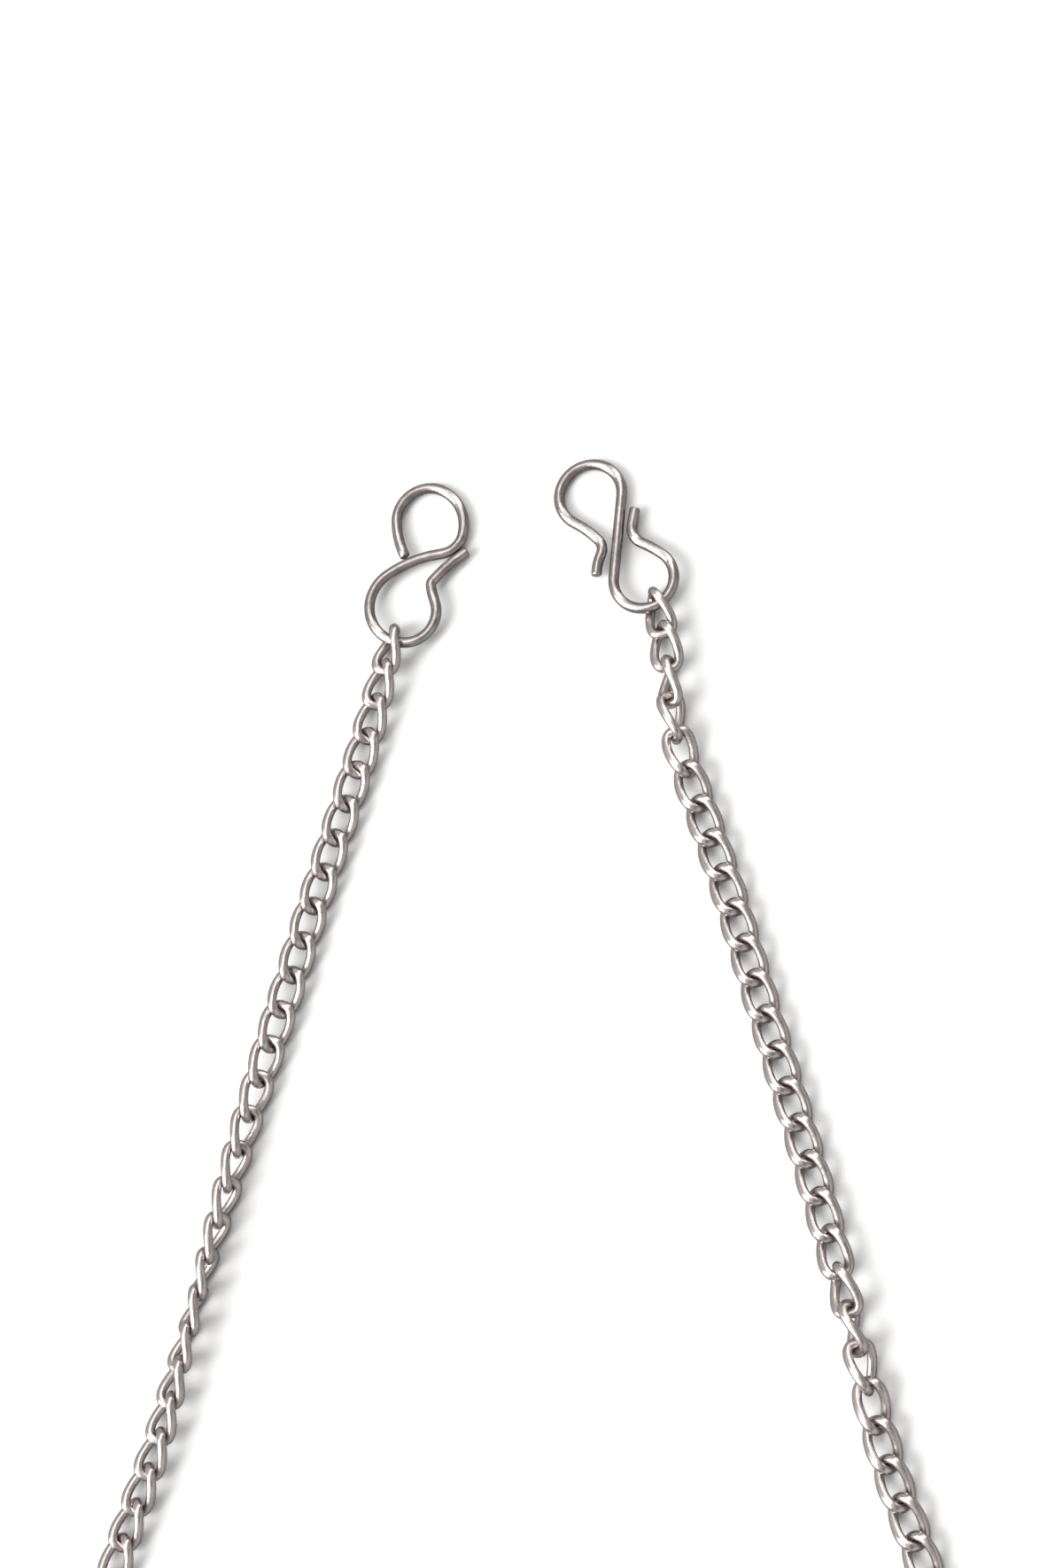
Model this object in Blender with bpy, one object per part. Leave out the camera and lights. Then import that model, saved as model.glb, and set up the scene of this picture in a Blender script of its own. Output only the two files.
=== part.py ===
"""A head chain that lies open on a table: a twisted curb chain in two strands, with a bent-wire S hook at each end.

Frame: +Z is up and the chain lies on the plane Z = 0, with its hooks at the +Y end and the round of the
chain at the -Y end. The origin is under the middle of the whole chain. Lengths are in metres.
"""

import math
from collections import namedtuple

import bpy
from mathutils import Matrix, Vector

# Driving sizes
LINK_WIRE = 0.00105  # diameter of the wire that the links are made of
LINK_WIDTH = 0.0039  # a link, outside over both of its sides
LINK_PITCH = 0.0040  # how far one link carries the chain on
LINK_TWIST = 85.0  # degrees that one end of a link is turned against its other end
LINK_FULLNESS = 2.6  # 2 is an ellipse, and more makes the sides straighter and the ends blunter
LINK_BITE = 0.00017  # how deep two linked links are fused, so that a strand is one body
HOOK_WIRE = 0.0012  # diameter of the wire of both hooks
HOOK_WIRE_LENGTH = 0.0540  # wire in each hook, before it is bent
CLEARANCE = 0.0003  # between the two strands where they meet
HOOK_PLAY = 0.0002  # between a hook and the end of the link that hangs on it

# Fineness of the faceted shapes
LINK_SIDES = 10  # corners of a link's outline
WIRE_RING = 1  # Blender's bevel resolution of the links' wire: 6 sides
WIRE_TURN = 44.0  # degrees that the 6 sides are turned about the wire, so that one link's ridges cross the next's
HOOK_RING = 2  # Blender's bevel resolution of the hooks' wire: 8 sides
HOOK_TURN = 22.5  # degrees, so that flats of the hooks' wire face up and down
HOOK_STEP = 24.0  # degrees, the most that one straight piece of a hook turns
ROUTE_STEPS = 24  # points between two points of the route

METAL = {"color": (0.40, 0.37, 0.35, 1.0), "roughness": 0.32, "metallic": 1.0}

# The line that the middle of the chain lies along, from the left hook round to the right hook
ROUTE = [
    (-0.0156, 0.0181),
    (-0.0194, 0.0042),
    (-0.0254, -0.0146),
    (-0.0318, -0.0360),
    (-0.0367, -0.0533),
    (-0.0414, -0.0703),
    (-0.0475, -0.0897),
    (-0.0478, -0.1142),
    (-0.0356, -0.1352),
    (-0.0146, -0.1474),
    (0.0098, -0.1474),
    (0.0308, -0.1352),
    (0.0430, -0.1142),
    (0.0428, -0.0897),
    (0.0377, -0.0724),
    (0.0348, -0.0600),
    (0.0326, -0.0510),
    (0.0294, -0.0390),
    (0.0257, -0.0259),
    (0.0216, -0.0115),
    (0.0172, 0.0023),
    (0.0160, 0.0083),
    (0.0156, 0.0143),
    (0.0142, 0.0204),
]

# How a strand is rolled about its own line: share of the strand's length from its hook, and degrees of roll.
# A roll of 0 shows the links' broad side, and so does half a turn. A little more than 0 lifts the side that
# is on the right hand of someone who looks from the hook along the strand.
Roll = namedtuple("Roll", "share degrees")
LEFT_ROLLS = [
    Roll(0.01, -40.0),
    Roll(0.09, 18.0),
    Roll(0.21, 20.0),
    Roll(0.27, 54.0),
    Roll(0.33, 76.0),
    Roll(0.37, 97.0),
    Roll(0.43, 139.0),
    Roll(0.49, 162.0),
    Roll(0.56, 180.0),
    Roll(1.00, 180.0),
]
RIGHT_ROLLS = [
    Roll(0.01, -36.0),
    Roll(0.03, -22.0),
    Roll(0.05, -60.0),
    Roll(0.07, -108.0),
    Roll(0.09, -152.0),
    Roll(0.11, -175.0),
    Roll(0.34, -181.0),
    Roll(0.37, -193.0),
    Roll(0.39, -218.0),
    Roll(0.43, -308.0),
    Roll(0.45, -339.0),
    Roll(0.48, -360.0),
    Roll(1.00, -360.0),
]

# How a hook's wire is bent, from the free end of its outer loop to the free end of its inner loop: share of
# the wire's length in the bend, and degrees that it turns to the left.
Bend = namedtuple("Bend", "share degrees")
LEFT_BENDS = [
    Bend(0.083, -26.0),
    Bend(0.145, -124.0),
    Bend(0.113, -71.0),
    Bend(0.063, -73.0),
    Bend(0.123, 29.0),
    Bend(0.206, 145.0),
    Bend(0.125, 113.0),
    Bend(0.033, -12.0),
    Bend(0.015, -51.0),
    Bend(0.094, -18.0),
]
RIGHT_BENDS = [
    Bend(0.047, -26.0),
    Bend(0.032, 66.0),
    Bend(0.067, 18.0),
    Bend(0.284, -245.0),
    Bend(0.180, 1.0),
    Bend(0.251, 235.0),
    Bend(0.052, 13.0),
    Bend(0.049, -73.0),
    Bend(0.038, 0.0),
]
# Which way the outer end of a hook's wire points, in degrees from +X, and the share of the wire that lies
# between that end and the place where the chain's first link hangs on the inner loop
Hook = namedtuple("Hook", "bends heading caught_at")
LEFT_HOOK = Hook(LEFT_BENDS, 118.0, 0.704)
RIGHT_HOOK = Hook(RIGHT_BENDS, 92.0, 0.737)


def clear_scene():
    """Removes every object of the scene that the script starts in."""
    for thing in list(bpy.data.objects):
        bpy.data.objects.remove(thing)


def metal():
    """The one finish of the whole piece: a grey plated white metal."""
    material = bpy.data.materials.new("grey_metal")
    material.use_nodes = True
    shader = material.node_tree.nodes["Principled BSDF"]
    shader.inputs["Base Color"].default_value = METAL["color"]
    shader.inputs["Roughness"].default_value = METAL["roughness"]
    shader.inputs["Metallic"].default_value = METAL["metallic"]
    return material


def between(rows, share):
    """The degrees that a table of rolls gives at a share of its strand, on a straight line between its rows."""
    for before, after in zip(rows, rows[1:]):
        if share <= after.share:
            part = (share - before.share) / (after.share - before.share)
            return before.degrees + part * (after.degrees - before.degrees)
    return rows[-1].degrees


def smooth_line(points):
    """Close points on the smooth curve that passes through the given points."""
    ends = [2 * points[0] - points[1], *points, 2 * points[-1] - points[-2]]
    line = []
    for a, b, c, d in zip(ends, ends[1:], ends[2:], ends[3:]):
        for step in range(ROUTE_STEPS):
            t = step / ROUTE_STEPS
            line.append(0.5 * (2 * b + (c - a) * t + (2 * a - 5 * b + 4 * c - d) * t**2 + (3 * b - a - 3 * c + d) * t**3))
    return [*line, points[-1]]


def lengths_along(line):
    """How far along the line each of its points lies."""
    along = [0.0]
    for a, b in zip(line, line[1:]):
        along.append(along[-1] + (b - a).length)
    return along


def place_along(line, along, distance):
    """The point of the line at a distance from its start."""
    for k in range(1, len(line)):
        if distance <= along[k] or k == len(line) - 1:
            part = (distance - along[k - 1]) / (along[k] - along[k - 1])
            return line[k - 1].lerp(line[k], part)


def link_middle_line(pitch):
    """The corners of the middle line of a link's wire: an oval along X, twisted about X, with blunt ends."""
    half_length = (pitch - LINK_BITE + LINK_WIRE) / 2
    half_width = (LINK_WIDTH - LINK_WIRE) / 2
    turns = [2 * math.pi * (k + 0.5) / LINK_SIDES for k in range(LINK_SIDES)]
    oval = [(rounded(math.cos(turn)), rounded(math.sin(turn))) for turn in turns]
    end = max(x for x, _ in oval)
    side = max(y for _, y in oval)
    corners = []
    for x, y in oval:
        twist = -math.radians(LINK_TWIST) / 2 * x / end
        out = half_width * y / side
        corners.append(Vector((half_length * x / end, out * math.cos(twist), out * math.sin(twist))))
    return corners


def rounded(value):
    """A cosine or sine changed so that a circle of them becomes fuller than a circle."""
    return math.copysign(abs(value) ** (2 / LINK_FULLNESS), value)


def tube(name, corners, wire, ring, turn, closed):
    """A curve object: wire of a few flat sides along straight runs between the corners."""
    curve = bpy.data.curves.new(name, "CURVE")
    curve.dimensions = "3D"
    curve.bevel_depth = wire / 2
    curve.bevel_resolution = ring
    curve.use_fill_caps = not closed
    run = curve.splines.new("POLY")
    run.points.add(len(corners) - 1)
    for point, corner in zip(run.points, corners):
        point.co = (*corner, 1.0)
        point.tilt = math.radians(turn)
    run.use_cyclic_u = closed
    thing = bpy.data.objects.new(name, curve)
    bpy.context.scene.collection.objects.link(thing)
    return thing


def link_mesh(pitch):
    """One link as a mesh, lying along X with its middle at the origin."""
    guide = tube("link_guide", link_middle_line(pitch), LINK_WIRE, WIRE_RING, WIRE_TURN, closed=True)
    bpy.context.view_layer.update()
    mesh = bpy.data.meshes.new_from_object(guide.evaluated_get(bpy.context.evaluated_depsgraph_get()))
    bpy.data.objects.remove(guide)
    return mesh


def half_height(pitch, roll):
    """How high the line of the chain runs over the table where its links have this roll."""
    turn = math.radians(roll)
    rise = max(abs(c.z * math.cos(turn) - c.y * math.sin(turn)) for c in link_middle_line(pitch))
    return rise + LINK_WIRE / 2


def strand_places(flat_line, pitch, count, rolls):
    """The points between the links of a strand, each as high as its links need, and the roll of each link."""
    along = lengths_along(flat_line)
    link_rolls = [between(rolls, (k + 0.5) / count) for k in range(count)]
    heights = [half_height(pitch, roll) for roll in link_rolls]
    places = []
    for k in range(count + 1):
        place = place_along(flat_line, along, k * pitch).copy()
        place.z = max(heights[max(k - 1, 0) : k + 1])
        places.append(place)
    return places, link_rolls


def link_matrix(start, end, pitch, roll):
    """Puts a link between two points, with its +X towards the end point, rolled to the right about its line."""
    reach = end - start
    ahead = reach.normalized()
    side = Vector((0, 0, 1)).cross(ahead).normalized()
    upper = ahead.cross(side)
    turn = Matrix((ahead, side, upper)).transposed().to_4x4()
    stretch = Matrix.Scale(reach.length / pitch, 4, (1, 0, 0))
    return Matrix.Translation((start + end) / 2) @ turn @ Matrix.Rotation(-math.radians(roll), 4, "X") @ stretch


def joined_links(name, mesh, matrices):
    """One object that holds a copy of the link at each of the matrices."""
    corners, faces = [], []
    for matrix in matrices:
        first = len(corners)
        corners += [matrix @ v.co for v in mesh.vertices]
        faces += [[first + k for k in p.vertices] for p in mesh.polygons]
    joined = bpy.data.meshes.new(name)
    joined.from_pydata(corners, [], faces)
    thing = bpy.data.objects.new(name, joined)
    bpy.context.scene.collection.objects.link(thing)
    return thing


def strand(name, places, rolls, pitch, material):
    """A strand of linked links as one body: a union adds every second link, which a guide object holds."""
    mesh = link_mesh(pitch)
    matrices = [link_matrix(a, b, pitch, roll) for a, b, roll in zip(places, places[1:], rolls)]
    chain = joined_links(name, mesh, matrices[0::2])
    others = joined_links(name + "_guide", mesh, matrices[1::2])
    others.hide_render = True
    others.display_type = "WIRE"
    union = chain.modifiers.new("linked", "BOOLEAN")
    union.operation = "UNION"
    union.solver = "EXACT"
    union.object = others
    chain.data.materials.append(material)
    return chain, others


def bent_wire(hook):
    """The middle line of a hook's wire, flat, and its point where the chain hangs."""
    place, heading, used = Vector((0, 0, 0)), math.radians(hook.heading), 0.0
    line, shares = [place.copy()], [0.0]
    for bend in hook.bends:
        pieces = max(1, math.ceil(abs(bend.degrees) / HOOK_STEP))
        turn = math.radians(bend.degrees) / pieces
        for _ in range(pieces):
            run = HOOK_WIRE_LENGTH * bend.share / pieces
            place = place + run * Vector((math.cos(heading + turn / 2), math.sin(heading + turn / 2), 0))
            heading += turn
            used += bend.share / pieces
            line.append(place.copy())
            shares.append(used)
    return line, place_along(line, shares, hook.caught_at)


def hook_object(name, hook, first, second, material):
    """A hook whose inner loop passes through the first link, and whose outer loop rests on the table."""
    line, caught = bent_wire(hook)
    seat = first + (second - first).normalized() * (HOOK_WIRE / 2 + LINK_BITE / 2 + HOOK_PLAY)
    crown = max((corner - caught for corner in line), key=lambda corner: corner.length)
    fall = math.asin((seat.z - HOOK_WIRE / 2) / crown.length)
    thing = tube(name, [corner - caught for corner in line], HOOK_WIRE, HOOK_RING, HOOK_TURN, closed=False)
    thing.location = seat
    thing.rotation_euler = Matrix.Rotation(fall, 3, Vector((0, 0, 1)).cross(crown)).to_euler()
    thing.data.materials.append(material)
    return thing


def stand_at_origin(things):
    """Moves everything so that its box stands on Z = 0 with its middle over the origin."""
    bpy.context.view_layer.update()
    graph = bpy.context.evaluated_depsgraph_get()
    corners = []
    for thing in things:
        shown = thing.evaluated_get(graph)
        mesh = shown.to_mesh()
        corners += [shown.matrix_world @ v.co for v in mesh.vertices]
        shown.to_mesh_clear()
    low = Vector(min(c[k] for c in corners) for k in range(3))
    high = Vector(max(c[k] for c in corners) for k in range(3))
    shift = Vector((-(low.x + high.x) / 2, -(low.y + high.y) / 2, -low.z))
    return shift


def main():
    clear_scene()
    material = metal()
    line = smooth_line([Vector((x, y, 0)) for x, y in ROUTE])
    whole = lengths_along(line)[-1] + CLEARANCE + LINK_BITE
    count = round(whole / LINK_PITCH)
    pitch = whole / count
    left_count = count // 2
    left_places, left_rolls = strand_places(line, pitch, left_count, LEFT_ROLLS)
    right_places, right_rolls = strand_places(line[::-1], pitch, count - left_count, RIGHT_ROLLS)
    chain_left, guide_left = strand("chain_left", left_places, left_rolls, pitch, material)
    chain_right, guide_right = strand("chain_right", right_places, right_rolls, pitch, material)
    hook_left = hook_object("hook_left", LEFT_HOOK, left_places[0], left_places[1], material)
    hook_right = hook_object("hook_right", RIGHT_HOOK, right_places[0], right_places[1], material)
    shift = stand_at_origin([chain_left, chain_right, hook_left, hook_right])
    for thing in (chain_left, guide_left, chain_right, guide_right, hook_left, hook_right):
        thing.location += shift


main()
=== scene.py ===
# %% [markdown]
# # A head chain of twisted links with a wire hook at each end
#
# The object is a light chain that is worn over the hair. Two strands of curb links run down from two bent-wire
# hooks and meet in one round at the bottom. It lies open on a pale table, seen from above.
#
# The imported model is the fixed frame: it says where every piece is. It could also be shown as it is, but its
# wire has only six or eight flat sides. So each node is replaced here by a piece with round wire that lies in
# the same place.

# %% Load the frame
import math
import random
from collections import namedtuple

import bpy
from mathutils import Matrix, Vector


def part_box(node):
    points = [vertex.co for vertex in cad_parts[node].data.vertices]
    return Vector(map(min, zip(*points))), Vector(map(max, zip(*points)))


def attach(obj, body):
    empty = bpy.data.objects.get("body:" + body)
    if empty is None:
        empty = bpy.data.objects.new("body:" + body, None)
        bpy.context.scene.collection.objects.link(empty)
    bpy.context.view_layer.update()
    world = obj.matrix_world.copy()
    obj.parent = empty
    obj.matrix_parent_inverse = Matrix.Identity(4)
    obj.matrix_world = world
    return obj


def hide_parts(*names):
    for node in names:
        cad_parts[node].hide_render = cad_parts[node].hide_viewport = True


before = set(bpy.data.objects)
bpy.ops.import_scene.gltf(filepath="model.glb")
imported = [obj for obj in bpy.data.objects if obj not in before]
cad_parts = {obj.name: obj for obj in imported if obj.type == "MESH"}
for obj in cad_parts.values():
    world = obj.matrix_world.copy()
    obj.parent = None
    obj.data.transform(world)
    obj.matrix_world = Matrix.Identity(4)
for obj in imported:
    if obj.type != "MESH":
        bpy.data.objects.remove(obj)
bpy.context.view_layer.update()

print("nodes:", sorted(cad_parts))

# %% [markdown]
# ## Sizes
#
# A curb chain is described by three lengths: the wire that its links are made of, how wide a link is, and how
# far one link carries the chain on. Everything is in metres. The middle line of a link is one wire longer than
# that step, because each link bears inside the next. The twist is what makes it a curb chain: one end of each link
# is turned against the other end, so that linked links lie flat beside each other.
#
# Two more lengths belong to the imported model: its links bite a little into each other, and its two strands stop
# just short of each other. Both count when the links are set along their line. The hook's play is the room
# between its wire and the first link.

# %% Sizes of the links and the hooks
MM = 1000.0
LINK_WIRE = 0.00105
LINK_WIDTH = 0.0039
LINK_PITCH = 0.0040
LINK_TWIST = -85.0
MIDDLE_LENGTH = LINK_PITCH + LINK_WIRE
FRAME_BITE = 0.00017
FRAME_GAP = 0.0003
HOOK_WIRE = 0.0012
HOOK_WIRE_LENGTH = 0.0540
HOOK_PLAY = 0.0002
print("the middle line of a link is %.2f mm long" % (MM * MIDDLE_LENGTH))

# %% [markdown]
# ## Three small helpers
#
# An operator acts on all that is selected, and loading the frame leaves its nodes selected. So every step starts
# from nothing selected and one chosen object that is active. The third helper adds a shader node and fills in
# its sockets in one line.


# %% Helpers for selecting, for modifiers and for shader nodes
def choose(*things):
    """Selects these objects alone, and makes the first of them the active one."""
    bpy.ops.object.select_all(action="DESELECT")
    for thing in things:
        thing.select_set(True)
    bpy.context.view_layer.objects.active = things[0]


def apply_modifier(thing, kind, **settings):
    """Adds one modifier with these settings to an object, and applies it at once."""
    choose(thing)
    modifier = thing.modifiers.new(kind.lower(), kind)
    for name, value in settings.items():
        setattr(modifier, name, value)
    bpy.ops.object.modifier_apply(modifier=modifier.name)


def node(tree, kind, operation=None, **values):
    """A new node in a tree, with values for its named input sockets."""
    made = tree.nodes.new(kind)
    if operation:
        made.operation = operation
    for label, value in values.items():
        made.inputs[label.replace("_", " ")].default_value = value
    return made


# %% [markdown]
# ## The camera
#
# The picture was taken from nearly straight above, leaning 18 degrees from the plumb line towards the lower right.
# A camera object could be turned by guesswork, but three directions at right angles say it exactly: where it
# looks, what is right and what is up in the picture. They are the columns of its matrix. The picture's height is
# the sensor's 24 mm, and the lens follows from how strongly the far end shrinks. It was worked out in pixels of
# the picture, so it is divided by the picture's height.

# %% Place the camera
LEAN = math.radians(18.0)
LEAN_TOWARDS = Vector((0.78, -0.63, 0.0)).normalized()
DISTANCE = 0.3175
PICTURE_HEIGHT = 1770
LENS_IN_PIXELS = 3250
SENSOR_HEIGHT = 24.0
NEAREST_SEEN = 0.01
LOOKED_AT = Vector((0.0023, 0.0574, 0.0))

looks = -(math.sin(LEAN) * LEAN_TOWARDS + math.cos(LEAN) * Vector((0, 0, 1)))
right = Vector((-looks.z, 0, looks.x)).normalized()
up = right.cross(looks)

bpy.ops.object.camera_add()
camera = bpy.context.object
camera.name = "camera"
axes = Matrix((right, up, -looks)).transposed().to_4x4()
camera.matrix_world = Matrix.Translation(LOOKED_AT - DISTANCE * looks) @ axes
camera.data.sensor_fit = "VERTICAL"
camera.data.sensor_height = SENSOR_HEIGHT
camera.data.lens = SENSOR_HEIGHT * LENS_IN_PIXELS / PICTURE_HEIGHT
camera.data.clip_start = NEAREST_SEEN
bpy.context.scene.camera = camera
print("lens %.1f mm, camera at" % camera.data.lens, [round(v, 3) for v in camera.location])

# %% [markdown]
# ## Table and light
#
# One large soft light comes from low on the left and throws the soft shadow to the right. A very weak one from
# above takes the edge off the darkest shadows. An area light would do, but far from it the table would turn grey.
# A sun with a wide angle is as soft, and lights the whole table alike.
#
# White paper mirrored in thin wire would wash out its edges. So the table's material asks which ray sees it: the
# eye gets white paper, and the wire's mirror image gets grey paper. That grey is painted shade, in place of the
# shadow that the wire casts on the paper around itself.

# %% Make the table and the lights
TABLE_SIZE = 3.0
PAPER_WHITE = (0.67, 0.674, 0.666, 1.0)
PAPER_ROUGHNESS = 0.9
MIRRORED_PAPER_SHADE = (0.27, 0.27, 0.27, 1.0)
Light = namedtuple("Light", "name comes_from width_degrees strength")
LIGHTS = [
    Light("key_light", Vector((-0.45, -0.22, 0.46)), 40.0, 3.3),
    Light("top_light", Vector((0.15, 0.25, 0.80)), 70.0, 0.2),
]

bpy.ops.mesh.primitive_plane_add(size=TABLE_SIZE)
table = bpy.context.object
table.name = "table"
paper = bpy.data.materials.new("white_paper")
paper.use_nodes = True
tree = paper.node_tree
white_paper = tree.nodes["Principled BSDF"]
white_paper.inputs["Base Color"].default_value = PAPER_WHITE
white_paper.inputs["Roughness"].default_value = PAPER_ROUGHNESS
# The paper in the wire's reflections is grey: painted shade around the wire.
paper_shade_in_reflections = node(tree, "ShaderNodeBsdfDiffuse", Color=MIRRORED_PAPER_SHADE)
which_ray = node(tree, "ShaderNodeLightPath")
either = node(tree, "ShaderNodeMixShader")
tree.links.new(which_ray.outputs["Is Glossy Ray"], either.inputs["Fac"])
tree.links.new(white_paper.outputs["BSDF"], either.inputs[1])
tree.links.new(paper_shade_in_reflections.outputs["BSDF"], either.inputs[2])
tree.links.new(either.outputs["Shader"], tree.nodes["Material Output"].inputs["Surface"])
table.data.materials.append(paper)

for row in LIGHTS:
    bpy.ops.object.light_add(type="SUN", location=row.comes_from)
    light = bpy.context.object
    light.name = row.name
    light.data.angle = math.radians(row.width_degrees)
    light.data.energy = row.strength
    light.rotation_euler = row.comes_from.to_track_quat("Z", "Y").to_euler()
print("lights:", [row.name for row in LIGHTS])

# %% [markdown]
# ## The room
#
# Metal shows what stands around it, so the room is as much a part of its look as its colour. In an evenly grey
# world the wire would look flat. So the room's light is the sum of two parts. A large soft noise over all
# directions makes pale panels and dark corners. A strip of light runs right over the table like a long lamp. Wire
# that lies across the strip mirrors it over its whole width and turns bright, and wire that lies along it shows
# only a thin line. That breaks the shine up into short bright stretches, as on the real hooks.
#
# The eye sees none of this, because as a backdrop the room is plain white. The Standard view keeps it white, where
# a filmic one would turn it grey.

# %% Make the room
ROOM_TINT = (1.0, 0.99, 0.985, 1.0)
BACKDROP_WHITE = (1.0, 1.0, 1.0, 1.0)
PANEL_SCALE = 2.2
PANEL_DETAIL = 0.5
PANEL_EDGE = (0.40, 0.60)
DARK_CORNER, BRIGHT_PANEL = 0.16, 0.90
STRIP_SIDEWAYS = (-0.7071, 0.7071, 0.0)
STRIP_OFFSET = 0.31
STRIP_EDGE = (0.05, 0.24)
STRIP_LIGHT = 3.2

room = bpy.data.worlds.new("room")
room.use_nodes = True
tree = room.node_tree
room_light = tree.nodes["Background"]
room_light.inputs["Color"].default_value = ROOM_TINT
direction = node(tree, "ShaderNodeTexCoord")
panels = node(tree, "ShaderNodeTexNoise", Scale=PANEL_SCALE, Detail=PANEL_DETAIL)
panel_light = node(tree, "ShaderNodeMapRange", From_Min=PANEL_EDGE[0], From_Max=PANEL_EDGE[1])
panel_light.inputs["To Min"].default_value = DARK_CORNER
panel_light.inputs["To Max"].default_value = BRIGHT_PANEL
sideways = node(tree, "ShaderNodeVectorMath", "DOT_PRODUCT")
sideways.inputs[1].default_value = STRIP_SIDEWAYS
off_strip = node(tree, "ShaderNodeMath", "SUBTRACT")
off_strip.inputs[1].default_value = STRIP_OFFSET
either_side = node(tree, "ShaderNodeMath", "ABSOLUTE")
strip_light = node(tree, "ShaderNodeMapRange", From_Min=STRIP_EDGE[0], From_Max=STRIP_EDGE[1])
strip_light.interpolation_type = "SMOOTHSTEP"
strip_light.inputs["To Min"].default_value = STRIP_LIGHT
strip_light.inputs["To Max"].default_value = 0.0
both_lights = node(tree, "ShaderNodeMath", "ADD")
tree.links.new(direction.outputs["Generated"], panels.inputs["Vector"])
tree.links.new(panels.outputs["Fac"], panel_light.inputs["Value"])
tree.links.new(direction.outputs["Generated"], sideways.inputs[0])
tree.links.new(sideways.outputs["Value"], off_strip.inputs[0])
tree.links.new(off_strip.outputs["Value"], either_side.inputs[0])
tree.links.new(either_side.outputs["Value"], strip_light.inputs["Value"])
tree.links.new(strip_light.outputs["Result"], both_lights.inputs[0])
tree.links.new(panel_light.outputs["Result"], both_lights.inputs[1])
tree.links.new(both_lights.outputs["Value"], room_light.inputs["Strength"])

backdrop = node(tree, "ShaderNodeBackground", Color=BACKDROP_WHITE)
seen = node(tree, "ShaderNodeLightPath")
either = node(tree, "ShaderNodeMixShader")
tree.links.new(seen.outputs["Is Camera Ray"], either.inputs["Fac"])
tree.links.new(room_light.outputs["Background"], either.inputs[1])
tree.links.new(backdrop.outputs["Background"], either.inputs[2])
tree.links.new(either.outputs["Shader"], tree.nodes["World Output"].inputs["Surface"])
bpy.context.scene.world = room
bpy.context.scene.view_settings.view_transform = "Standard"
print("room light from", DARK_CORNER, "to", BRIGHT_PANEL, "and a strip of", STRIP_LIGHT)

# %% [markdown]
# ## The metal
#
# The wire is a plated white metal that has been handled: grey with a warm brown tone, a soft shine, faint lines
# from the die it was drawn through, and a darker film in patches. The inner sides of its bends are darkened too, as
# painted shade.
#
# Both wires show the same two effects, so each effect is a node group with its own inputs, and each material
# places the groups with its own values. The first group makes fine lines along the wire out of a noise that is
# stretched along the piece's own UV map, and small dents out of a second noise on Object coordinates. The second
# group mixes the clean metal with a dark colour: as a real film it lies in patches and along the drawn lines, and
# on the inner sides of the bends it is painted shade.


# %% Node group for drawn lines and dents
def new_group(name, inputs, outputs):
    """An empty shader node group with these sockets, and its input and output nodes."""
    group = bpy.data.node_groups.new(name, "ShaderNodeTree")
    for label, kind, value in inputs:
        socket = group.interface.new_socket(name=label, in_out="INPUT", socket_type=kind)
        socket.default_value = value
    for label, kind in outputs:
        group.interface.new_socket(name=label, in_out="OUTPUT", socket_type=kind)
    return group, group.nodes.new("NodeGroupInput"), group.nodes.new("NodeGroupOutput")


FLOAT = "NodeSocketFloat"
COLOUR = "NodeSocketColor"
DENT_HEIGHT = 0.8

drawn, drawn_in, drawn_out = new_group(
    "drawn_wire",
    [("Lines along", FLOAT, 6.0), ("Lines around", FLOAT, 60.0), ("Dent size", FLOAT, 1400.0)],
    [("Lines", FLOAT), ("Height", FLOAT)],
)
wire_map = node(drawn, "ShaderNodeUVMap")
wire_map.uv_map = "wire"
stretch = node(drawn, "ShaderNodeCombineXYZ")
scaled = node(drawn, "ShaderNodeVectorMath", "MULTIPLY")
lines = node(drawn, "ShaderNodeTexNoise", Scale=1.0, Detail=3.0, Roughness=0.6)
dent_place = node(drawn, "ShaderNodeTexCoord")
dents = node(drawn, "ShaderNodeTexNoise", Detail=2.0, Roughness=0.5)
height = node(drawn, "ShaderNodeMath", "MULTIPLY_ADD")
height.inputs[1].default_value = DENT_HEIGHT
drawn.links.new(drawn_in.outputs["Lines along"], stretch.inputs["X"])
drawn.links.new(drawn_in.outputs["Lines around"], stretch.inputs["Y"])
drawn.links.new(wire_map.outputs["UV"], scaled.inputs[0])
drawn.links.new(stretch.outputs["Vector"], scaled.inputs[1])
drawn.links.new(scaled.outputs["Vector"], lines.inputs["Vector"])
drawn.links.new(lines.outputs["Fac"], drawn_out.inputs["Lines"])
drawn.links.new(dent_place.outputs["Object"], dents.inputs["Vector"])
drawn.links.new(drawn_in.outputs["Dent size"], dents.inputs["Scale"])
drawn.links.new(dents.outputs["Fac"], height.inputs[0])
drawn.links.new(lines.outputs["Fac"], height.inputs[2])
drawn.links.new(height.outputs["Value"], drawn_out.inputs["Height"])
print("group:", drawn.name)

# %% Node group for the dark film and the painted shade in the bends
PATCH_EDGE = (0.35, 0.68)
PATCH_SHARE, HOLLOW_SHADE_SHARE, LINE_SHARE = 0.60, 0.40, 0.35

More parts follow.
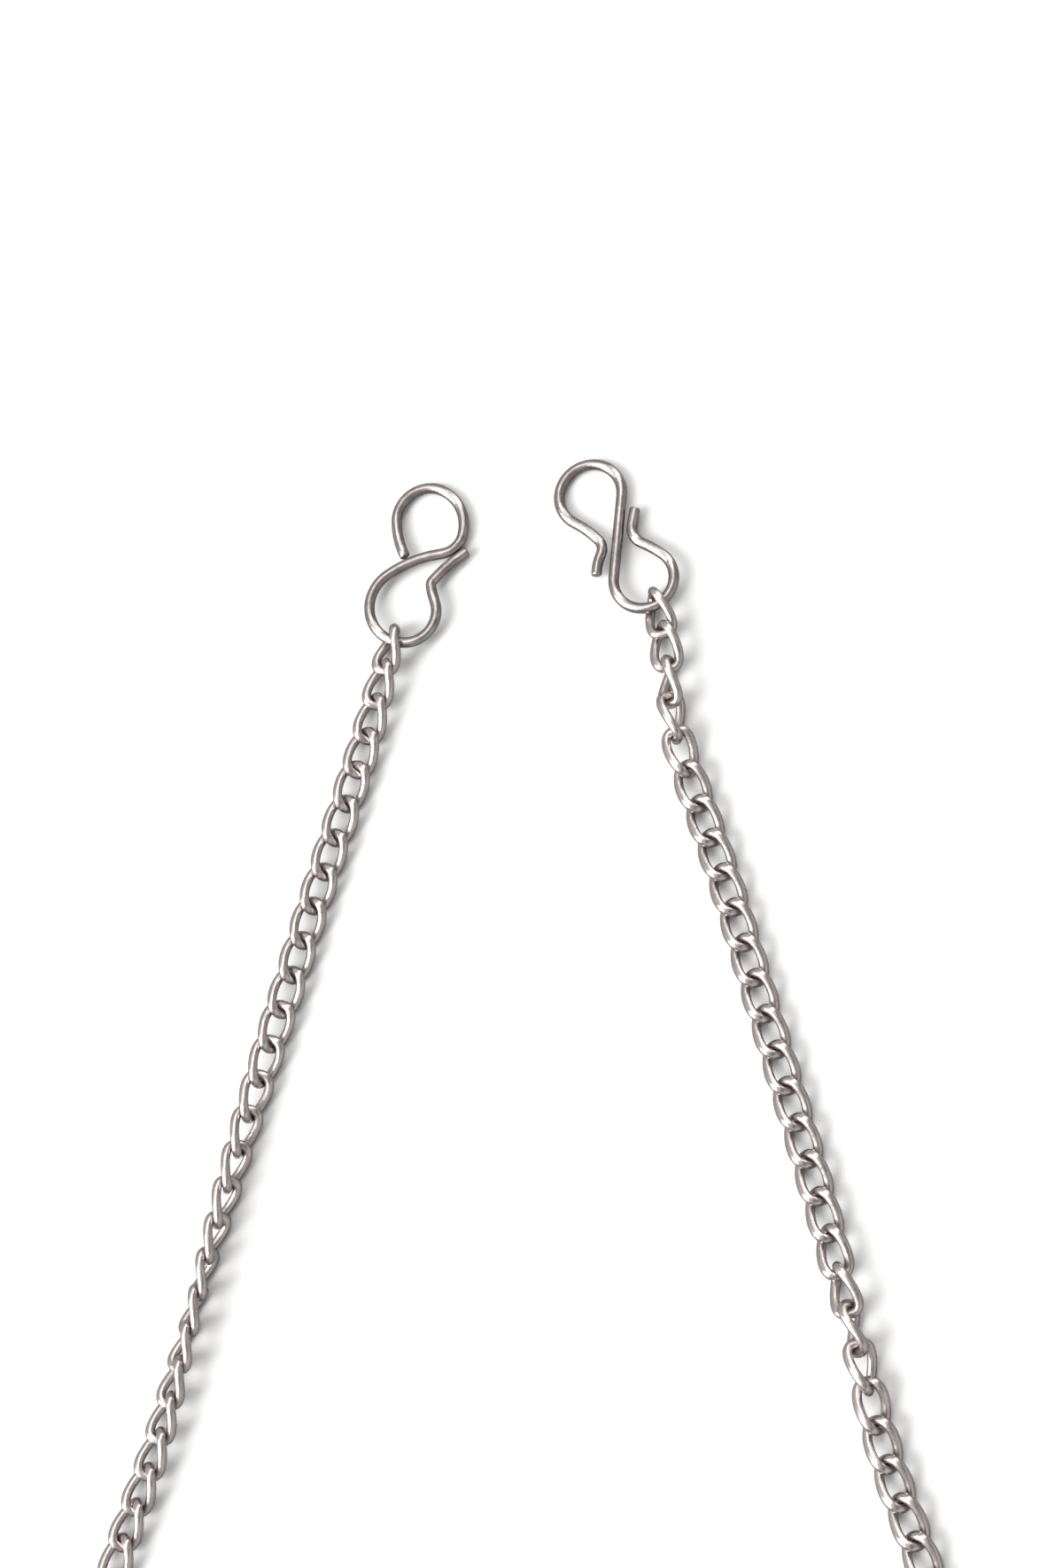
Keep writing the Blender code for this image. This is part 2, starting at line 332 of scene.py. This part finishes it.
film_and_shade, film_and_shade_in, film_and_shade_out = new_group(
    "film_and_hollow_shade",
    [
        ("Clean", COLOUR, (0.40, 0.37, 0.35, 1.0)),
        ("Film and shade colour", COLOUR, (0.16, 0.13, 0.12, 1.0)),
        ("Hollow shade", FLOAT, 0.0),
        ("Amount", FLOAT, 0.5),
        ("Patch size", FLOAT, 650.0),
        ("Lines", FLOAT, 0.5),
    ],
    [("Colour", COLOUR), ("Film and shade cover", FLOAT)],
)
place = node(film_and_shade, "ShaderNodeTexCoord")
patches = node(film_and_shade, "ShaderNodeTexNoise", Detail=3.0, Roughness=0.55)
patch_edge = node(film_and_shade, "ShaderNodeMapRange", From_Min=PATCH_EDGE[0], From_Max=PATCH_EDGE[1])
patchy = node(film_and_shade, "ShaderNodeMath", "MULTIPLY")
patchy.inputs[1].default_value = PATCH_SHARE
# The inner sides of the bends are darkened with the film's colour as painted shade.
hollow_shaded = node(film_and_shade, "ShaderNodeMath", "MULTIPLY_ADD")
hollow_shaded.inputs[1].default_value = HOLLOW_SHADE_SHARE
streaked = node(film_and_shade, "ShaderNodeMath", "MULTIPLY_ADD")
streaked.inputs[1].default_value = LINE_SHARE
film_and_shade_cover = node(film_and_shade, "ShaderNodeMath", "MULTIPLY")
film_and_shade_cover.use_clamp = True
film_and_shade_mix = node(film_and_shade, "ShaderNodeMix")
film_and_shade_mix.data_type = "RGBA"
film_and_shade.links.new(place.outputs["Object"], patches.inputs["Vector"])
film_and_shade.links.new(film_and_shade_in.outputs["Patch size"], patches.inputs["Scale"])
film_and_shade.links.new(patches.outputs["Fac"], patch_edge.inputs["Value"])
film_and_shade.links.new(patch_edge.outputs["Result"], patchy.inputs[0])
film_and_shade.links.new(film_and_shade_in.outputs["Hollow shade"], hollow_shaded.inputs[0])
film_and_shade.links.new(patchy.outputs["Value"], hollow_shaded.inputs[2])
film_and_shade.links.new(film_and_shade_in.outputs["Lines"], streaked.inputs[0])
film_and_shade.links.new(hollow_shaded.outputs["Value"], streaked.inputs[2])
film_and_shade.links.new(streaked.outputs["Value"], film_and_shade_cover.inputs[0])
film_and_shade.links.new(film_and_shade_in.outputs["Amount"], film_and_shade_cover.inputs[1])
film_and_shade.links.new(film_and_shade_cover.outputs["Value"], film_and_shade_mix.inputs["Factor"])
film_and_shade.links.new(film_and_shade_in.outputs["Clean"], film_and_shade_mix.inputs["A"])
film_and_shade.links.new(film_and_shade_in.outputs["Film and shade colour"], film_and_shade_mix.inputs["B"])
film_and_shade.links.new(film_and_shade_mix.outputs["Result"], film_and_shade_out.inputs["Colour"])
film_and_shade.links.new(film_and_shade_cover.outputs["Value"], film_and_shade_out.inputs["Film and shade cover"])
print("group:", film_and_shade.name)

# %% [markdown]
# ## Two materials from the same groups
#
# The links and the hooks are the same metal, but the links' thin wire was twisted and tumbled, so its lines are
# weaker and its film sits deeper. Their clean and dark colours are lighter than the hook's, as painted light that
# lifts the shade between the links. The hook's wire is thicker and shows longer lines. Where the film and the
# painted shade lie, the shine is duller, so their cover also raises the roughness.


# %% Build the two wire metals
BUMP_STRENGTH = 0.9


def wire_metal(name, clean, film_and_shade_colour, amount, lines_along, lines_around, smooth, dull, line_depth):
    """A drawn wire metal with a dark film in patches and along its lines, and painted shade on the inner sides of
    its bends.
    """
    material = bpy.data.materials.new(name)
    material.use_nodes = True
    tree = material.node_tree
    shader = tree.nodes["Principled BSDF"]
    shader.inputs["Metallic"].default_value = 1.0
    marks = node(tree, "ShaderNodeGroup")
    marks.node_tree = drawn
    marks.inputs["Lines along"].default_value = lines_along
    marks.inputs["Lines around"].default_value = lines_around
    coat = node(tree, "ShaderNodeGroup")
    coat.node_tree = film_and_shade
    coat.inputs["Clean"].default_value = clean
    coat.inputs["Film and shade colour"].default_value = film_and_shade_colour
    coat.inputs["Amount"].default_value = amount
    # The mask of the bends' inner sides, where the colour is darkened as painted shade.
    inner = node(tree, "ShaderNodeAttribute")
    inner.attribute_name = "hollow_shade"
    shine = node(tree, "ShaderNodeMapRange", To_Min=smooth, To_Max=dull)
    bump = node(tree, "ShaderNodeBump", Strength=BUMP_STRENGTH, Distance=line_depth)
    tree.links.new(inner.outputs["Fac"], coat.inputs["Hollow shade"])
    tree.links.new(marks.outputs["Lines"], coat.inputs["Lines"])
    tree.links.new(coat.outputs["Colour"], shader.inputs["Base Color"])
    tree.links.new(coat.outputs["Film and shade cover"], shine.inputs["Value"])
    tree.links.new(shine.outputs["Result"], shader.inputs["Roughness"])
    tree.links.new(marks.outputs["Height"], bump.inputs["Height"])
    tree.links.new(bump.outputs["Normal"], shader.inputs["Normal"])
    return material


# Lighter than the hook's colours: painted light that lifts the shade between the links.
link_metal = wire_metal(
    "link_metal",
    clean=(0.57, 0.522, 0.502, 1.0),
    film_and_shade_colour=(0.33, 0.28, 0.27, 1.0),
    amount=0.52,
    lines_along=5.0,
    lines_around=24.0,
    smooth=0.19,
    dull=0.50,
    line_depth=0.00003,
)
hook_metal = wire_metal(
    "hook_metal",
    clean=(0.44, 0.402, 0.387, 1.0),
    film_and_shade_colour=(0.14, 0.11, 0.105, 1.0),
    amount=0.62,
    lines_along=14.0,
    lines_around=30.0,
    smooth=0.12,
    dull=0.42,
    line_depth=0.00003,
)
print("materials:", link_metal.name, hook_metal.name)

# %% [markdown]
# ## One link
#
# A curb link is a ring of wire, pressed longer, with blunt ends, and then twisted. A torus could be stretched,
# but its wire would be stretched with it. Here the middle line comes first: a Bezier circle is scaled to an
# oval, its handles are drawn out until the ends are blunt, and a Simple Deform modifier twists it. Only then
# does the line get its round wire as the bevel of a curve, so the wire keeps its thickness all the way.
#
# The wire keeps a map of its own: U runs along it and V around it. It also carries a value for how far each
# point faces into the link. There the colour is darkened as painted shade, in the same dark colour as the real
# film.

# %% Model the middle line of a link
CIRCLE_HANDLE = 0.5523
BLUNT_HANDLE = 0.76
LINE_STEPS = 9

bpy.ops.object.select_all(action="DESELECT")
bpy.ops.curve.primitive_bezier_circle_add(radius=1.0)
link = bpy.context.object
link.name = "link"
link.data.resolution_u = LINE_STEPS
for point in link.data.splines[0].bezier_points:
    point.handle_left_type = point.handle_right_type = "FREE"
    point.handle_left = point.co + (point.handle_left - point.co) * BLUNT_HANDLE / CIRCLE_HANDLE
    point.handle_right = point.co + (point.handle_right - point.co) * BLUNT_HANDLE / CIRCLE_HANDLE
bpy.ops.transform.resize(value=(MIDDLE_LENGTH / 2, (LINK_WIDTH - LINK_WIRE) / 2, 1.0))
bpy.ops.object.transform_apply(location=False, rotation=False, scale=True)
bpy.ops.object.convert(target="MESH")
apply_modifier(link, "SIMPLE_DEFORM", deform_method="TWIST", deform_axis="X", angle=math.radians(LINK_TWIST))
middle_line = [vertex.co.copy() for vertex in link.data.vertices]
print("middle line of a link:", len(middle_line), "points")


# %% [markdown]
# ## Wire along a line
#
# A curve's bevel gives a round wire whose rings follow each other in order, each with the same number of points:
# four, and two more for each step of its resolution. That order is enough to write the wire's map and to find each
# ring's middle.

# %% Give a wire its map and its mask of painted shade
WIRE_SIDES = 12
NO_BEND = 1e-8


def map_wire(thing, sides, closed):
    """Writes a wire's UV map, and how far each point faces the inner side of its bend, as a mask of painted shade.
    The rings are in order.
    """
    mesh = thing.data
    rings = len(mesh.vertices) // sides
    middles = []
    for ring in range(rings):
        corners = [mesh.vertices[ring * sides + k].co for k in range(sides)]
        middles.append(sum(corners, Vector()) / sides)
    inner_side = []
    for ring in range(rings):
        before = middles[ring - 1] if closed or ring > 0 else middles[ring]
        after = middles[(ring + 1) % rings] if closed or ring < rings - 1 else middles[ring]
        towards = before + after - 2 * middles[ring]
        flat_end = not closed and ring in (0, rings - 1)
        inner_side.append(Vector() if flat_end or towards.length < NO_BEND else towards.normalized())
    # Mask of each bend's inner side, used to darken the colour there as painted shade.
    hollow_shade = mesh.attributes.new("hollow_shade", "FLOAT", "POINT")
    for vertex in mesh.vertices:
        ring = vertex.index // sides
        facing = (vertex.co - middles[ring]).normalized().dot(inner_side[ring])
        hollow_shade.data[vertex.index].value = max(0.0, facing)
    while mesh.uv_layers:
        mesh.uv_layers.remove(mesh.uv_layers[0])
    wire_uv = mesh.uv_layers.new(name="wire")
    for face in mesh.polygons:
        numbers = [mesh.loops[k].vertex_index for k in face.loop_indices]
        along = [n // sides for n in numbers]
        around = [n % sides for n in numbers]
        wraps_along = max(along) - min(along) > 1
        wraps_around = max(around) - min(around) > 1
        for k, a, b in zip(face.loop_indices, along, around):
            u = (a + rings if wraps_along and a == 0 else a) / rings
            v = (b + sides if wraps_around and b == 0 else b) / sides
            wire_uv.data[k].uv = (u, v)


choose(link)
bpy.ops.object.convert(target="CURVE")
link.data.bevel_depth = LINK_WIRE / 2
link.data.bevel_resolution = (WIRE_SIDES - 4) // 2
bpy.ops.object.convert(target="MESH")
map_wire(link, WIRE_SIDES, closed=True)
bpy.ops.object.shade_smooth()
link.data.materials.append(link_metal)
print("a link has", len(link.data.polygons), "faces")

# %% [markdown]
# ## The line that the chain lies along
#
# The chain's middle line is a smooth curve through a few points on the table. A Catmull-Rom curve is used,
# because it passes through its points. The links are then set along it a fixed step apart, as on the real chain,
# where every link has the same length.

# %% The route on the table
ROUTE_STEPS = 24
ROUTE = [
    (-0.0156, 0.0181),
    (-0.0194, 0.0042),
    (-0.0254, -0.0146),
    (-0.0318, -0.0360),
    (-0.0367, -0.0533),
    (-0.0414, -0.0703),
    (-0.0475, -0.0897),
    (-0.0478, -0.1142),
    (-0.0356, -0.1352),
    (-0.0146, -0.1474),
    (0.0098, -0.1474),
    (0.0308, -0.1352),
    (0.0430, -0.1142),
    (0.0428, -0.0897),
    (0.0377, -0.0724),
    (0.0348, -0.0600),
    (0.0326, -0.0510),
    (0.0294, -0.0390),
    (0.0257, -0.0259),
    (0.0216, -0.0115),
    (0.0172, 0.0023),
    (0.0160, 0.0083),
    (0.0156, 0.0143),
    (0.0142, 0.0204),
]


def smooth_line(points):
    """Close points on the smooth curve that passes through the given points."""
    ends = [2 * points[0] - points[1], *points, 2 * points[-1] - points[-2]]
    line = []
    for a, b, c, d in zip(ends, ends[1:], ends[2:], ends[3:]):
        for step in range(ROUTE_STEPS):
            t = step / ROUTE_STEPS
            slope = c - a
            bend = 2 * a - 5 * b + 4 * c - d
            swing = 3 * b - a - 3 * c + d
            line.append(0.5 * (2 * b + slope * t + bend * t**2 + swing * t**3))
    return [*line, points[-1]]


def lengths_along(line):
    """How far along the line each of its points lies."""
    along = [0.0]
    for a, b in zip(line, line[1:]):
        along.append(along[-1] + (b - a).length)
    return along


def place_along(line, along, distance):
    """The point of the line at a distance from its start."""
    for k in range(1, len(line)):
        if distance <= along[k] or k == len(line) - 1:
            part = (distance - along[k - 1]) / (along[k] - along[k - 1])
            return line[k - 1].lerp(line[k], part)


route = smooth_line([Vector((x, y, 0)) for x, y in ROUTE])
whole = lengths_along(route)[-1] + FRAME_GAP + FRAME_BITE
link_count = round(whole / LINK_PITCH)
pitch = whole / link_count
print("the chain is %.0f mm long and has %d links" % (MM * whole, link_count))

# %% [markdown]
# ## How the strands are rolled
#
# A loose chain rarely lies flat all the way. Each strand is twisted about its own length in places, so that some
# links show their broad side and others stand on edge. A table gives the roll at a few places of the strand, and
# the links between them take a value on a straight line between two rows.

# %% Tables of roll, and the height that a rolled link needs
Roll = namedtuple("Roll", "share degrees")
LEFT_ROLLS = [
    Roll(0.01, -40.0),
    Roll(0.09, 18.0),
    Roll(0.21, 20.0),
    Roll(0.27, 54.0),
    Roll(0.33, 76.0),
    Roll(0.37, 97.0),
    Roll(0.43, 139.0),
    Roll(0.49, 162.0),
    Roll(0.56, 180.0),
    Roll(1.00, 180.0),
]
RIGHT_ROLLS = [
    Roll(0.01, -36.0),
    Roll(0.03, -22.0),
    Roll(0.05, -60.0),
    Roll(0.07, -108.0),
    Roll(0.09, -152.0),
    Roll(0.11, -175.0),
    Roll(0.34, -181.0),
    Roll(0.37, -193.0),
    Roll(0.39, -218.0),
    Roll(0.43, -308.0),
    Roll(0.45, -339.0),
    Roll(0.48, -360.0),
    Roll(1.00, -360.0),
]


def between(rows, share):
    """The degrees that a table of rolls gives at a share of its strand."""
    for before, after in zip(rows, rows[1:]):
        if share <= after.share:
            part = (share - before.share) / (after.share - before.share)
            return before.degrees + part * (after.degrees - before.degrees)
    return rows[-1].degrees


def half_height(roll):
    """How high the line of the chain runs over the table where its links have this roll."""
    turn = math.radians(roll)
    rise = max(abs(c.z * math.cos(turn) - c.y * math.sin(turn)) for c in middle_line)
    return rise + LINK_WIRE / 2


print("a flat link needs %.2f mm, a standing one %.2f mm" % (MM * half_height(0), MM * half_height(90)))

# %% [markdown]
# ## Copy the link along each strand
#
# What repeats is modelled once. An Array with a Curve modifier would bend each link along the route, but real
# links are stiff and only turn against each other. So every copy is put in place by a matrix: its own length
# points along the line, and it is rolled about that line. No two links of a worn chain hang quite alike, so a
# seeded random number turns each one by a degree or two more. Each copy has its own mesh, and the copies of a
# strand are joined to one piece.

# %% Place the links of both strands
UNEVEN_ROLL = 2.5
UNEVEN_YAW = 1.2


def strand_places(line, count, rolls):
    """The points between the links of a strand, and the roll of each link."""
    along = lengths_along(line)
    link_rolls = [between(rolls, (k + 0.5) / count) for k in range(count)]
    heights = [half_height(roll) for roll in link_rolls]
    places = []
    for k in range(count + 1):
        spot = place_along(line, along, k * pitch).copy()
        spot.z = max(heights[max(k - 1, 0) : k + 1])
        places.append(spot)
    return places, link_rolls


def link_matrix(start, end, roll, yaw):
    """Puts a link between two points, with its +X towards the end point, rolled to the right about its line."""
    ahead = (end - start).normalized()
    side = Vector((0, 0, 1)).cross(ahead).normalized()
    upper = ahead.cross(side)
    turn = Matrix((ahead, side, upper)).transposed().to_4x4()
    rolled = Matrix.Rotation(math.radians(yaw), 4, "Z") @ Matrix.Rotation(-math.radians(roll), 4, "X")
    return Matrix.Translation((start + end) / 2) @ turn @ rolled


def strand(name, places, rolls, shift, seed):
    """All links of one strand as one piece."""
    chance = random.Random(seed)
    copies = []
    for a, b, roll in zip(places, places[1:], rolls):
        roll_more = roll + chance.uniform(-UNEVEN_ROLL, UNEVEN_ROLL)
        yaw = chance.uniform(-UNEVEN_YAW, UNEVEN_YAW)
        copy = link.copy()
        copy.data = link.data.copy()
        copy.data.transform(Matrix.Translation(shift) @ link_matrix(a, b, roll_more, yaw))
        bpy.context.scene.collection.objects.link(copy)
        copies.append(copy)
    choose(*copies)
    bpy.ops.object.join()
    piece = bpy.context.object
    piece.name = piece.data.name = name
    return piece


left_places, left_rolls = strand_places(route, link_count // 2, LEFT_ROLLS)
right_places, right_rolls = strand_places(route[::-1], link_count - link_count // 2, RIGHT_ROLLS)
print("left strand starts at", [round(MM * v, 1) for v in left_places[0]], "mm on its own sheet")

# %% [markdown]
# ## From the route's sheet to the frame
#
# The route is drawn on a sheet with an origin of its own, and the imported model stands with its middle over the
# frame's origin. One shift brings them together. The boxes that are printed here, a strand's and its node's, show
# that it fits.

# %% Shift the strands to the frame and join them
SHIFT = Vector((0.0024, 0.0570, 0.0))


def box_text(corners):
    """The lowest and the highest corner of some points, in millimetres."""
    return [[round(MM * pick(c[k] for c in corners), 2) for k in range(3)] for pick in (min, max)]


def compare(piece, node_name):
    """Prints the box of a piece and that of the node that it stands for."""
    corners = [vertex.co for vertex in piece.data.vertices]
    print(piece.name, box_text(corners), "and its node", box_text(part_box(node_name)))


left_strand = strand("left_strand", left_places, left_rolls, SHIFT, seed=11)
right_strand = strand("right_strand", right_places, right_rolls, SHIFT, seed=12)
compare(left_strand, "chain_left")
compare(right_strand, "chain_right")

# %% [markdown]
# ## The hooks
#
# Each hook is one length of wire, bent with pliers into two loops. A curve through points could follow it, but a
# real bend has one radius, and so has Blender's Spin. The wire starts as a filled circle at its outer end, and
# each row of a table then spins the end face about the bend's centre: a share of the wire's length, and the
# degrees that it turns to the left. Spin counts its own angle to the right, so the turn changes its sign. A bend
# with nearly no angle is pulled straight on by Extrude.

# %% Tables of bends
Bend = namedtuple("Bend", "share degrees")
LEFT_BENDS = [
    Bend(0.083, -26.0),
    Bend(0.145, -124.0),
    Bend(0.113, -71.0),
    Bend(0.063, -73.0),
    Bend(0.123, 29.0),
    Bend(0.206, 145.0),
    Bend(0.125, 113.0),
    Bend(0.033, -12.0),
    Bend(0.015, -51.0),
    Bend(0.094, -18.0),
]
RIGHT_BENDS = [
    Bend(0.047, -26.0),
    Bend(0.032, 66.0),
    Bend(0.067, 18.0),
    Bend(0.284, -245.0),
    Bend(0.180, 1.0),
    Bend(0.251, 235.0),
    Bend(0.052, 13.0),
    Bend(0.049, -73.0),
    Bend(0.038, 0.0),
]
Hook = namedtuple("Hook", "bends heading caught_at")
LEFT_HOOK = Hook(LEFT_BENDS, 118.0, 0.704)
RIGHT_HOOK = Hook(RIGHT_BENDS, 92.0, 0.737)

# %% Spin a hook out of its wire
HOOK_SIDES = 14
HOOK_STEP = 24.0
SPIN_STEP = 6.0
STRAIGHT_BELOW = 2.0
END_ROUNDING = 0.0002
END_SEGMENTS = 3
SHARP_EDGE = math.radians(40.0)


def bend_runs(hook):
    """Each bend as a start, a heading, a turn, a number of straight steps and their length, and the wire's line."""
    place, heading = Vector((0, 0, 0)), math.radians(hook.heading)
    runs, line, shares, used = [], [place.copy()], [0.0], 0.0
    for bend in hook.bends:
        pieces = max(1, math.ceil(abs(bend.degrees) / HOOK_STEP))
        turn = math.radians(bend.degrees) / pieces
        step = HOOK_WIRE_LENGTH * bend.share / pieces
        runs.append((place.copy(), heading, turn * pieces, pieces, step))
        for _ in range(pieces):
            place = place + step * Vector((math.cos(heading + turn / 2), math.sin(heading + turn / 2), 0))
            heading += turn
            used += bend.share / pieces
            line.append(place.copy())
            shares.append(used)
    return runs, line, place_along(line, shares, hook.caught_at)


def spun_hook(name, hook, first, second, shift):
    """A hook's wire, bent flat at first, then set with its inner loop through the strand's first link."""
    runs, line, caught = bend_runs(hook)
    heading = math.radians(hook.heading)
    bpy.ops.object.select_all(action="DESELECT")
    bpy.ops.mesh.primitive_circle_add(
        vertices=HOOK_SIDES,
        radius=HOOK_WIRE / 2,
        fill_type="NGON",
        rotation=(math.pi / 2, 0, heading + math.pi / 2),
    )
    wire = bpy.context.object
    wire.name = wire.data.name = name
    bpy.ops.object.transform_apply(location=False, rotation=True, scale=False)
    bpy.ops.object.mode_set(mode="EDIT")
    bpy.ops.mesh.select_all(action="SELECT")
    for start, way, turn, pieces, step in runs:
        if abs(math.degrees(turn)) < STRAIGHT_BELOW:
            ahead = Vector((math.cos(way), math.sin(way), 0)) * step * pieces
            bpy.ops.mesh.extrude_region_move(TRANSFORM_OT_translate={"value": ahead})
            continue
        radius = step / 2 / math.sin(abs(turn) / pieces / 2)
        to_centre = math.copysign(radius, turn) * Vector((-math.sin(way), math.cos(way), 0))
        steps = max(2, math.ceil(abs(math.degrees(turn)) / SPIN_STEP))
        bpy.ops.mesh.spin(steps=steps, angle=-turn, center=start + to_centre, axis=(0, 0, 1))
    bpy.ops.object.mode_set(mode="OBJECT")
    map_wire(wire, HOOK_SIDES, closed=False)
    reached = sum((v.co for v in wire.data.vertices[-HOOK_SIDES:]), Vector()) / HOOK_SIDES
    print(name, "ends %.3f mm from the end of its table's line" % (MM * (reached - line[-1]).length))

    for face in wire.data.polygons:
        face.select = len(face.vertices) == HOOK_SIDES
    bpy.ops.object.mode_set(mode="EDIT")
    bpy.ops.mesh.bevel(offset=END_ROUNDING, segments=END_SEGMENTS, affect="EDGES")
    bpy.ops.mesh.select_all(action="SELECT")
    bpy.ops.mesh.normals_make_consistent(inside=False)
    bpy.ops.object.mode_set(mode="OBJECT")
    bpy.ops.object.shade_smooth_by_angle(angle=SHARP_EDGE)

    seat = first + (second - first).normalized() * (HOOK_WIRE / 2 + FRAME_BITE / 2 + HOOK_PLAY)
    crown = max((corner - caught for corner in line), key=lambda corner: corner.length)
    fall = math.asin((seat.z - HOOK_WIRE / 2) / crown.length)
    tilt = Matrix.Rotation(fall, 4, Vector((0, 0, 1)).cross(crown))
    wire.data.transform(Matrix.Translation(seat + shift) @ tilt @ Matrix.Translation(-caught))
    wire.data.materials.append(hook_metal)
    return wire


left_hook = spun_hook("left_hook", LEFT_HOOK, left_places[0], left_places[1], SHIFT)
right_hook = spun_hook("right_hook", RIGHT_HOOK, right_places[0], right_places[1], SHIFT)
compare(left_hook, "hook_left")
compare(right_hook, "hook_right")

# %% [markdown]
# ## Finish
#
# Every piece rides on the frame's one body and stands for its node, whose imported part is hidden.

# %% Attach the pieces to the frame's body and hide their nodes
STANDS_FOR = (
    (left_strand, "chain_left"),
    (right_strand, "chain_right"),
    (left_hook, "hook_left"),
    (right_hook, "hook_right"),
)
for piece, node_name in STANDS_FOR:
    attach(piece, "root")
    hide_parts(node_name)
bpy.data.objects.remove(link)
